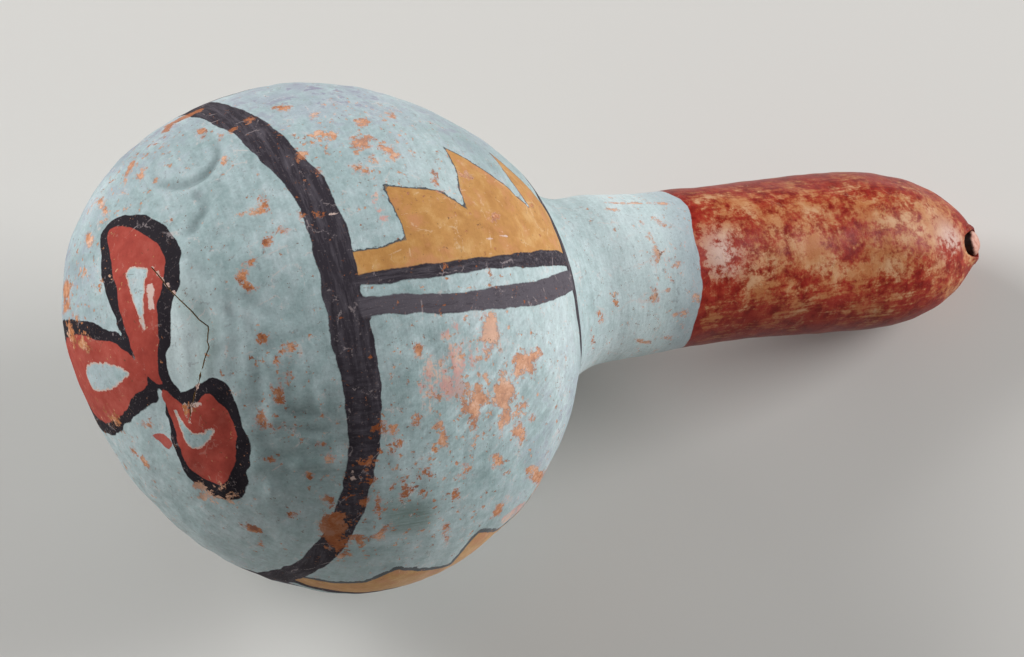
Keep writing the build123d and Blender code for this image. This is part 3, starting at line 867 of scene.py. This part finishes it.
def mineral_paint():
    """Mineral colours in glue on gourd rind, brushed on thin and never varnished: chalky and matt, streaked by the
    brush, flaked to the tan skin, and on the neck worn and rubbed by hands to a soft gloss. Pale spots on the neck are
    partly worn paint and partly painted highlight."""
    material, add, surface = fresh_material("mineral_paint_on_gourd_rind")
    place = add("Attribute", attribute_name="gourd_mm").outputs["Vector"]
    at = {name: add("Attribute", attribute_name=name).outputs["Fac"]
          for name in (*areas, "black", "red", "pale", "pink", "ochre", "outline", "dry", "ring", "neck", "chip",
                       "crack", "grip", "wear_and_highlight", "groove")}
    # even patterns: size in mm, detail and roughness
    cloud, blotch, tint, flake, hue, ragged, fleck, grain = (
        add("TexNoise", place, 1 / size, detail, roughness) for size, detail, roughness in (
            (24, 8.0, 0.66), (9.0, 2.0, 0.5), (8.0, 6.0, 0.6), (6.0, 10.0, 0.72), (3.2, 6.0, 0.65), (2.2, 7.0, 0.7),
            (1.7, 5.0, 0.6), (0.7, 4.0, 0.7)))
    # brush marks round the gourd, along it and slanting: a mark's size in mm each way
    brushed = add("Mapping", place, named={"Scale": (1 / 1.2, 1 / 9, 1 / 9)})
    streak = add("TexNoise", brushed, 1.0, 6.0, 0.68)
    drawn = add("Mapping", place, named={"Scale": (1 / 12, 1 / 0.9, 1 / 0.9)})
    lines = add("TexNoise", drawn, 1.0, 6.0, 0.68)
    slanted = add("Mapping", place, named={"Rotation": (0.0, 0.0, radians(38)), "Scale": (9.0, 1.4, 1.4)},
                  vector_type="TEXTURE")
    stroke = add("TexNoise", slanted, 1.0, 5.0, 0.62)
    wobble, torn, finer, along_it = (add("Math", pattern, 0.5, operation="SUBTRACT")
                                     for pattern in (ragged, flake, grain, lines))
    # scratches, short broken lines in all directions, one set pale and one dark: spacing in mm, core and edge of a
    # line, its strength, and the pattern that breaks it, with the values where the line ends and where it is whole
    bent = add("Math", hue, 5.0, operation="MULTIPLY")
    bent = add("VectorMath", place, bent, operation="ADD")
    scratches = []
    for spacing, core, edge, strength, pattern, ends, whole in ((7.0, 0.012, 0.028, 1.0, flake, 0.53, 0.57),
                                                                (5.0, 0.015, 0.05, 0.4, fleck, 0.55, 0.6)):
        line = add("TexVoronoi", bent, 1 / spacing, feature="DISTANCE_TO_EDGE")
        line = add("MapRange", line, core, edge, strength, 0.0)
        here = add("MapRange", pattern, ends, whole, 0.0, 1.0)
        scratches.append(add("Math", line, here, operation="MULTIPLY"))
    pale_line, dark_line = scratches
    ground_line, ochre_line, red_line, neck_line = (add("Math", pale_line, strength, operation="MULTIPLY")
                                                    for strength in (0.6, 0.45, 0.3, 0.2))
    # where coats lie, with torn edges: the layer, how far in mm its edge is torn, two depths in it, and the cover at
    # each of these
    cover = {}
    for name, layer, tear, outer, inner, outer_cover, inner_cover in (
            ("outline", "outline", 2.6, -0.1, 0.06, 0.0, 0.9), ("ochre", "ochre", 1.0, -0.12, 0.1, 0.0, 1.0),
            ("black", "black", 0.9, -0.12, 0.12, 0.0, 1.0), ("red", "red", 0.9, -0.1, 0.12, 0.0, 1.0),
            ("pale_rim", "pale", 2.4, -0.25, -0.1, 0.0, 0.9), ("pale", "pale", 2.4, 0.1, 0.3, 0.0, 1.0),
            ("pink", "pink", 3.5, -0.1, 0.15, 0.0, 0.95), ("cut_edge", "crack", -5.0, 0.1, 0.25, 0.85, 0.0),
            ("neck", "neck", 0.7, -0.12, 0.12, 0.0, 1.0), ("whole_neck", "neck", 4.0, 1.2, 2.6, 0.18, 0.0)):
        near_edge = add("Math", wobble, tear, at[layer], operation="MULTIPLY_ADD")
        cover[name] = add("MapRange", near_edge, outer, inner, outer_cover, inner_cover)

    # pale turquoise ground, streaked by the brush and mottled, lilac, stained or paler in places (partly paint, partly
    # painted light), with lines partly painted as shade of the ridges, painted shade by the open cut, dirt and painted
    # shade in the grooves, and a thin dark outline round the steps
    mottled = add("Mix", 0.45, cloud, hue, data_type="FLOAT")
    ground = add("ValToRGB", mottled, stops=[(0.38, "#96ADAE"), (0.5, "#AEC2C4"), (0.62, "#C3D2D5")])
    # paler ground: partly the paint's own paler tone, partly painted light where the ground is lit brighter
    share = add("Math", at["paler_and_painted_light"], 0.6, operation="MULTIPLY")
    ground = add("Mix", share, ground, "#D8E6E7", data_type="RGBA")
    # in the lined places the lines along the gourd are darker: partly brush marks, partly painted shade of the ridges
    combed = add("Mix", at["lines_and_ridge_shade"], streak, lines, data_type="FLOAT")
    darkest = add("MapRange", at["lines_and_ridge_shade"], 0.0, 1.0, 0.87, 0.76)
    streak_light = add("MapRange", combed, 0.3, 0.7, darkest, 1.1)
    stroke_light = add("MapRange", stroke, 0.36, 0.64, 0.82, 1.16)
    grain_light = add("MapRange", grain, 0.3, 0.7, 0.87, 1.1)
    for share, light in ((1.0, streak_light), (at["stroked"], stroke_light), (1.0, grain_light)):
        ground = add("Mix", share, ground, light, data_type="RGBA", blend_type="MULTIPLY")
    for pattern, low, high, low_share, high_share, layer, code in (
            (tint, 0.4, 0.62, 0.1, 0.8, "lilac", "#999EAE"), (hue, 0.53, 0.6, 0.0, 0.8, "lilac", "#827D96"),
            (lines, 0.35, 0.6, 0.5, 1.0, "stain", "#677B75")):
        share = add("MapRange", pattern, low, high, low_share, high_share)
        share = add("Math", share, at[layer], operation="MULTIPLY")
        ground = add("Mix", share, ground, code, data_type="RGBA")
    # painted shade: the ground darker and greener beside the open cut
    shade_by_crack = add("MapRange", at["crack"], 0.3, 3.5, 0.25, 0.0)
    # dirt and painted shade: the ground darker in the grooves
    groove_dirt_and_shade = add("Math", at["groove"], 0.5, operation="MULTIPLY", use_clamp=True)
    by_neck_paint = add("MapRange", at["neck"], -10.0, -2.0, 0.0, 0.45)
    for share, code in ((shade_by_crack, "#84A598"), (dark_line, "#7A7C80"), (groove_dirt_and_shade, "#667577"), (ground_line, "#D3C8C4"),
                        (by_neck_paint, "#8A94A0"), (cover["outline"], "#2B2F36")):
        ground = add("Mix", share, ground, code, data_type="RGBA")

    # ochre of the steps, reddish in places
    ochre = add("ValToRGB", mottled, stops=[(0.36, "#B2793E"), (0.5, "#C6904F"), (0.64, "#D8AC72")])
    reddish = add("MapRange", tint, 0.5, 0.62, 0.0, 0.7)
    for share, code in ((reddish, "#CB8B60"), (ochre_line, "#E2C7A6")):
        ochre = add("Mix", share, ochre, code, data_type="RGBA")

    # thin pink worn coat in places and round the chips
    chip = at["chip"]
    for pattern, tear in ((wobble, 6.0), (torn, 3.0), (finer, 3.0)):
        chip = add("Math", pattern, tear, chip, operation="MULTIPLY_ADD")
    rim = add("MapRange", chip, -0.3, -0.1, 0.0, 0.5)
    thin = add("Mix", 0.5, flake, streak, data_type="FLOAT")
    thin = add("Mix", 0.35, thin, grain, data_type="FLOAT")
    limit = add("MapRange", at["haze"], 0.0, 1.7, 0.62, 0.44)
    thin = add("Math", thin, limit, operation="SUBTRACT")
    thin = add("MapRange", thin, -0.01, 0.05, 0.0, 0.85)
    hazed = add("MapRange", at["haze"], 0.1, 0.4, 0.0, 1.0)
    thin = add("Math", thin, hazed, operation="MULTIPLY")
    thin = add("Math", thin, rim, operation="MAXIMUM", use_clamp=True)
    pink = add("ValToRGB", tint, stops=[(0.4, "#CBA49C"), (0.5, "#DB9E94"), (0.6, "#E4BBA6")])

    # black of the bands and outlines, rubbed grey where the brush ran dry, with pale scratches, and deeper by the lobes
    dry_stretch = add("MapRange", at["dry"], -0.5, 0.3, 0.0, 0.22)
    dry = add("Math", combed, dry_stretch, operation="ADD")
    dry = add("MapRange", dry, 0.46, 0.7, 0.0, 0.65)
    black = add("Mix", dry, "#38333A", "#6C666E", data_type="RGBA")
    off_lobes = add("MapRange", at["red"], -8.5, -5.5, 1.0, 0.0)
    black = add("Mix", off_lobes, "#29242A", black, data_type="RGBA")
    scratch = add("MapRange", grain, 0.6, 0.66, 0.0, 0.4)
    scratch = add("Math", scratch, pale_line, operation="MAXIMUM")
    scratch = add("Math", scratch, 0.6, operation="MULTIPLY")
    black = add("Mix", scratch, black, "#A79A9B", data_type="RGBA")
    off_ring = add("Math", at["ring"], operation="ABSOLUTE")
    on_ring = add("MapRange", off_ring, 3.0, 3.2, 1.0, 0.0)
    on_black = add("Math", cover["black"], on_ring, operation="MAXIMUM")

    # red of the lobes, and the pale broken edge of the thick coats beside the open cut
    red = add("ValToRGB", mottled, stops=[(0.36, "#9A3F37"), (0.5, "#AE4B40"), (0.64, "#BC5E52")])
    red = add("Mix", red_line, red, "#CC9A8C", data_type="RGBA")
    thick = add("Math", on_black, cover["red"], operation="MAXIMUM")
    cut_edge = add("Math", cover["cut_edge"], thick, operation="MULTIPLY")

    # bare skin where the paint has flaked, from brown to peach, with dark torn edges and specks
    shade = add("Mix", 0.5, tint, hue, data_type="FLOAT")
    shade = add("Mix", 0.25, shade, grain, data_type="FLOAT")
    skin = add("ValToRGB", shade, stops=[(0.42, "#8E5238"), (0.47, "#B97448"), (0.51, "#CB8A60"), (0.55, "#DDA988"),
                                         (0.6, "#E2BBA4")])
    peach = add("Math", at["peach"], 0.75, operation="MULTIPLY")
    brown = add("Math", on_black, off_lobes, operation="MULTIPLY")
    brown = add("Math", brown, at["brown"], operation="MAXIMUM")
    brown = add("Math", brown, 0.7, operation="MULTIPLY")
    for share, code in ((peach, "#E6BFA9"), (brown, "#94502F")):
        skin = add("Mix", share, skin, code, data_type="RGBA")
    bare_skin = add("MapRange", chip, 0.0, 0.3, 0.0, 1.0)
    for pattern, unworn_limit, worn_limit, low, high, most in ((flake, 0.665, 0.5, -0.004, 0.01, 1.0),
                                                               (fleck, 0.68, 0.49, -0.01, 0.015, 0.85)):
        limit = add("MapRange", at["wear"], 0.0, 2.0, unworn_limit, worn_limit)
        gone = add("Math", pattern, limit, operation="SUBTRACT")
        gone = add("MapRange", gone, low, high, 0.0, most)
        bare_skin = add("Math", bare_skin, gone, operation="MAXIMUM")
    torn_edge = add("Math", chip, 0.15, operation="SUBTRACT")
    torn_edge = add("Math", torn_edge, operation="ABSOLUTE")
    torn_edge = add("MapRange", torn_edge, 0.04, 0.2, 0.3, 0.0)
    speck = add("Math", ragged, grain, operation="MULTIPLY")
    speck = add("MapRange", speck, 0.36, 0.38, 0.0, 0.75)

    # neck: dark red, rubbed through to rust, tan and pale skin in grains and blotches, whole along its edge
    unheld = add("Math", 1.0, at["grip"], operation="SUBTRACT")
    along_it = add("Math", along_it, unheld, operation="MULTIPLY")
    rub = add("Mix", 0.45, blotch, hue, data_type="FLOAT")
    for pattern, amount in ((along_it, 1.3), (wobble, 0.6), (finer, 0.3)):
        rub = add("Math", pattern, amount, rub, operation="MULTIPLY_ADD")
    limit = add("MapRange", at["grip"], 0.0, 1.0, 0.67, 0.475)
    for kept in (limit, cover["whole_neck"]):
        rub = add("Math", rub, kept, operation="SUBTRACT")
    rub = add("MapRange", rub, -0.16, 0.16, 0.0, 1.0)
    neck = add("ValToRGB", hue, stops=[(0.36, "#7E1C14"), (0.5, "#972A1F"), (0.64, "#A83E2C")])
    tan_skin = add("ValToRGB", tint, stops=[(0.4, "#B8774A"), (0.5, "#C38E63"), (0.6, "#CFA57F")])
    rusty = add("MapRange", rub, 0.18, 0.7, 0.0, 0.75)
    worn_off = add("MapRange", rub, 0.45, 0.85, 0.0, 0.85)
    # pale spots on the neck: partly paint rubbed pale by hands, partly painted highlight
    pale_wear_and_highlight = add("MapRange", rub, 0.3, 0.6, 0.0, 0.75)
    pale_wear_and_highlight = add("Math", pale_wear_and_highlight, at["wear_and_highlight"], operation="MULTIPLY")
    for share, coat in ((rusty, "#B56C40"), (worn_off, tan_skin), (pale_wear_and_highlight, "#D6BCB4"), (neck_line, "#D9B083")):
        neck = add("Mix", share, neck, coat, data_type="RGBA")
    # the neck darker away from the palm's side
    darker_off_palm = add("MapRange", at["grip"], 0.1, 0.7, 0.74, 1.0)
    neck = add("Mix", 1.0, neck, darker_off_palm, data_type="RGBA", blend_type="MULTIPLY")

    # the coats, one over the other
    colour = ground
    for share, coat in ((cover["ochre"], ochre), (thin, pink), (on_black, black), (cover["red"], red),
                        (cover["pale_rim"], "#D8C2B6"), (cover["pale"], ground), (cover["pink"], "#DCC2B8"),
                        (bare_skin, skin), (torn_edge, "#8C5E4C"), (speck, "#6E4A38"), (cut_edge, "#D9B8AC"),
                        (cover["neck"], neck)):
        colour = add("Mix", share, colour, coat, data_type="RGBA")

    # chalky globe, duller black and handled neck
    rough = add("MapRange", cover["neck"], 0.0, 1.0, 0.66, 0.3)
    rough = add("Math", grain, 0.18, rough, operation="MULTIPLY_ADD")
    gloss = add("MapRange", on_black, 0.0, 1.0, 0.4, 0.1)
    gloss = add("Mix", cover["neck"], gloss, 0.18, data_type="FLOAT")
    dark_coat = add("Math", cover["neck"], on_black, operation="MAXIMUM")
    chalk = add("MapRange", dark_coat, 0.0, 1.0, 0.15, 0.0)
    # relief in mm: brush marks, chalky grain, and the thickness of the coats at their edges and flakes
    height = add("Math", combed, 0.12, operation="MULTIPLY")
    for pattern, rise in ((grain, 0.07), (thick, 0.05), (bare_skin, -0.08)):
        height = add("Math", pattern, rise, height, operation="MULTIPLY_ADD")
    bump = add("Bump", named={"Height": height, "Strength": 0.8, "Distance": MM})
    fill(surface, named={"Base Color": colour, "Roughness": rough, "Specular IOR Level": gloss, "IOR": 1.45,
                         "Sheen Weight": chalk, "Sheen Roughness": 0.4, "Normal": bump})
    return material


def speckled(name, size, detail, unevenness, stops, rough, dents=None, slit_shade_colour=None):
    """A material speckled by one pattern of a size in mm. If asked, it is dented by a strength and a depth in mm, and
    goes over to another colour, a painted shade, where it stands in the slit."""
    material, add, surface = fresh_material(name)
    coords = add("TexCoord").outputs["Object"]
    speck = add("TexNoise", coords, 1 / (size * MM), detail, unevenness)
    colour = add("ValToRGB", speck, stops=stops)
    if slit_shade_colour:
        # painted shade: the stem goes dark towards its foot, where it stands in the slit
        height = add("Attribute", attribute_name="stem_mm").outputs["Fac"]
        deep = add("Math", speck, 1.2, height, operation="MULTIPLY_ADD")
        deep = add("MapRange", deep, 0.9, 1.5, 1.0, 0.0)
        colour = add("Mix", deep, colour, slit_shade_colour, data_type="RGBA")
    if dents:
        bump = add("Bump", named={"Height": speck, "Strength": dents[0], "Distance": dents[1] * MM})
        fill(surface, named={"Normal": bump})
    fill(surface, named={"Base Color": colour, "Roughness": rough})
    return material


painted = mineral_paint()
# Dry inside of a gourd and its knife cut: pale, woody and dull
bare = speckled("bare_gourd_rind", 4, 6.0, 0.65, [(0.2, "#8A6A44"), (0.8, "#D2B98A")], 0.85, dents=(0.5, 0.3))
# Pine pitch run into the knife cut and dried: nearly black, a little shiny
pitch = speckled("pine_pitch", 1.5, 4.0, 0.5, [(0.2, "#1C1512"), (0.8, "#4A3428")], 0.5)
# Corky dried stem, rubbed smooth at its end: pinkish tan with darker pores, and painted shade where it stands in the
# slit
dried_stem = speckled("dried_gourd_stem", 1.6, 6.0, 0.6, [(0.3, "#A9695A"), (0.5, "#C9917E"), (0.7, "#DAB4A6")], 0.5,
                      dents=(0.6, 0.4), slit_shade_colour="#1E0D0B")
# River pebble, worn smooth and dry: grey with paler specks
stone = speckled("river_pebble", 0.9, 5.0, 0.7, [(0.35, "#6B665E"), (0.68, "#ABA396")], 0.6, dents=(0.4, 0.2))
chamber_points, chamber_faces = closed_rings(inner_rings(), flip=False)


def hollow_gourd(name, sink, materials):
    """The whole gourd with its hollow, its skin sunk by a depth."""
    points, faces = closed_rings(outer_rings(sink), flip=True)
    points[:, 2] = np.maximum(points[:, 2], 0.0)
    inner = [tuple(i + len(points) for i in face) for face in chamber_faces]
    return new_piece(name, np.concatenate([points, chamber_points]), faces + inner, materials,
                     [0] * len(faces) + [1] * len(inner))


# The knife parts the plug from the shell, and the pitch fills what is left between them
blank = hollow_gourd("blank", 0.0, [painted, bare])
sunk_blank = hollow_gourd("sunk_blank", pitch_sink, [pitch, pitch])
no_gap = [0.0] * len(plug_outline)
hole_block = knife_block("hole_block", no_gap, [painted, bare])
plug_block = knife_block("plug_block", plug_gaps, [painted, bare])
rind = cut(blank, hole_block, "DIFFERENCE", "rind")
plug = cut(blank, plug_block, "INTERSECT", "plug")
hole_fill = cut(sunk_blank, hole_block, "INTERSECT", "hole_fill")
seam = cut(hole_fill, plug_block, "DIFFERENCE", "seam")
for spare in (blank, sunk_blank, hole_fill, hole_block, plug_block):
    bpy.data.objects.remove(spare)
seam.data.materials.clear()
seam.data.materials.append(pitch)
seam.data.polygons.foreach_set("material_index", np.zeros(len(seam.data.polygons), dtype=np.int32))

stem_turns = np.arange(stem_segments) * 2 * pi / stem_segments
stem_rings = []
for rise, radius in stem_rows:
    ring = ring_at_seat(radius, rise, stem_turns)
    swell = 1 + stem_swell * waves(ring, 5.0, 31)
    slope = stem_slope * max(rise, 0) / stem_top * radius * (1 + np.sin(stem_turns))
    lumps = stem_lump * waves(ring, 4.0, 32)
    stem_rings.append(ring_at_seat(radius * swell, rise - slope + lumps, stem_turns))
stem_points, stem_faces = closed_rings(np.array(stem_rings), flip=False)
stem = new_piece("stem", stem_points, stem_faces, [dried_stem])
height = stem.data.attributes.new("stem_mm", "FLOAT", "POINT")
height.data.foreach_set("value", np.ascontiguousarray((stem_points - seat_middle) @ seat_out, dtype=np.float32))

# Edges sharper than this stay sharp
sharp_angle = radians(50)
for piece in (rind, plug):
    paint(piece)
for piece, node, slot in ((rind, "gourd_shell", "painted_rind"), (plug, "filling_plug", "painted_rind"),
                          (seam, "pitch_seam", "pitch"), (stem, "stem_stub", "dry_stem")):
    piece.data.set_sharp_from_angle(angle=sharp_angle)
    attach(piece, "gourd")
    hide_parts(node)

# Each pebble is a lumpy stone inside the plain form of its solid: how fine its mesh is, how near its pole it starts,
# its share of the solid, its lumps as share, size and seed, and the least and greatest share
stone_rows, stone_segments, stone_pole = 20, 32, 0.06
stone_share, stone_lumps, stone_limits = 0.92, [(0.04, 5.5, 41), (0.012, 2.2, 42)], (0.8, 0.99)
turns = np.arange(stone_segments) * 2 * pi / stone_segments
for name, node in [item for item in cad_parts.items() if item[0].startswith("pebble")]:
    solid = np.array([tuple(node.matrix_world @ vertex.co) for vertex in node.data.vertices]) / MM
    middle = (solid.min(0) + solid.max(0)) / 2
    short = globe_centre - middle
    short /= np.linalg.norm(short)
    long = np.cross([0.0, 1.0, 0.0], short)
    long /= np.linalg.norm(long)
    half_height = np.abs((solid - middle) @ short).max()
    half_length = np.abs((solid - middle) @ long).max()
    rings = []
    for lift in np.linspace(stone_pole, pi - stone_pole, stone_rows):
        flat = np.cos(turns)[:, None] * long + np.sin(turns)[:, None] * np.cross(short, long)
        ring = middle + half_length * sin(lift) * flat - half_height * cos(lift) * short
        share = stone_share
        for amount, size, seed in stone_lumps:
            share = share + amount * waves(ring, size, seed)
        rings.append(middle + (ring - middle) * np.clip(share, *stone_limits)[:, None])
    points, faces = closed_rings(np.array(rings), flip=False)
    pebble = new_piece(name.replace("pebble", "stone"), points, faces, [stone])
    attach(pebble, name + "_body")
    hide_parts(name)

# Pale floor
floor_material, _, surface = fresh_material("pale_paper_floor")
fill(surface, named={"Base Color": "#D8D6D2", "Roughness": 0.9})
floor_half = 1500.0
floor = new_piece("floor", [(-floor_half, -floor_half, 0), (floor_half, -floor_half, 0), (floor_half, floor_half, 0),
                            (-floor_half, floor_half, 0)], [(0, 1, 2, 3)], [floor_material])

# Soft studio light: two broad lamps, low on both sides and a little behind, and an even sky
world = bpy.data.worlds.new("studio")
bpy.context.scene.world = world
world.use_nodes = True
fill(world.node_tree.nodes["Background"], named={"Color": "#FFFFFF", "Strength": 0.14})
lamp_target = Vector((0.04, 0.0, 0.05))


def lamp(name, place, size, watts):
    """A square lamp that faces the middle of the globe."""
    data = bpy.data.lights.new(name, "AREA")
    data.size, data.energy = size, watts
    holder = bpy.data.objects.new(name, data)
    bpy.context.scene.collection.objects.link(holder)
    holder.location = Vector(place)
    holder.rotation_euler = (lamp_target - holder.location).to_track_quat("-Z", "Y").to_euler()


lamp("left_lamp", (-1.08, 1.07, 0.88), 0.96, 29.0)
lamp("right_lamp", (1.66, -0.16, 0.72), 0.96, 30.4)

# Camera at the photograph's viewing angle
camera_place = Vector((-58.147, -326.226, 728.588)) * MM
camera_right = Vector((0.94995, -0.31239, 0.0))
camera_up = Vector((0.27982, 0.85091, 0.44458))
camera_back = camera_right.cross(camera_up)
data = bpy.data.cameras.new("camera")
data.sensor_fit = "HORIZONTAL"
data.sensor_width = 36.0
data.lens = 105.47
camera = bpy.data.objects.new("camera", data)
bpy.context.scene.collection.objects.link(camera)
turned = Matrix((camera_right, camera_up, camera_back)).transposed().to_4x4()
camera.matrix_world = Matrix.Translation(camera_place) @ turned
bpy.context.scene.camera = camera

bpy.context.scene.view_settings.view_transform = "Standard"
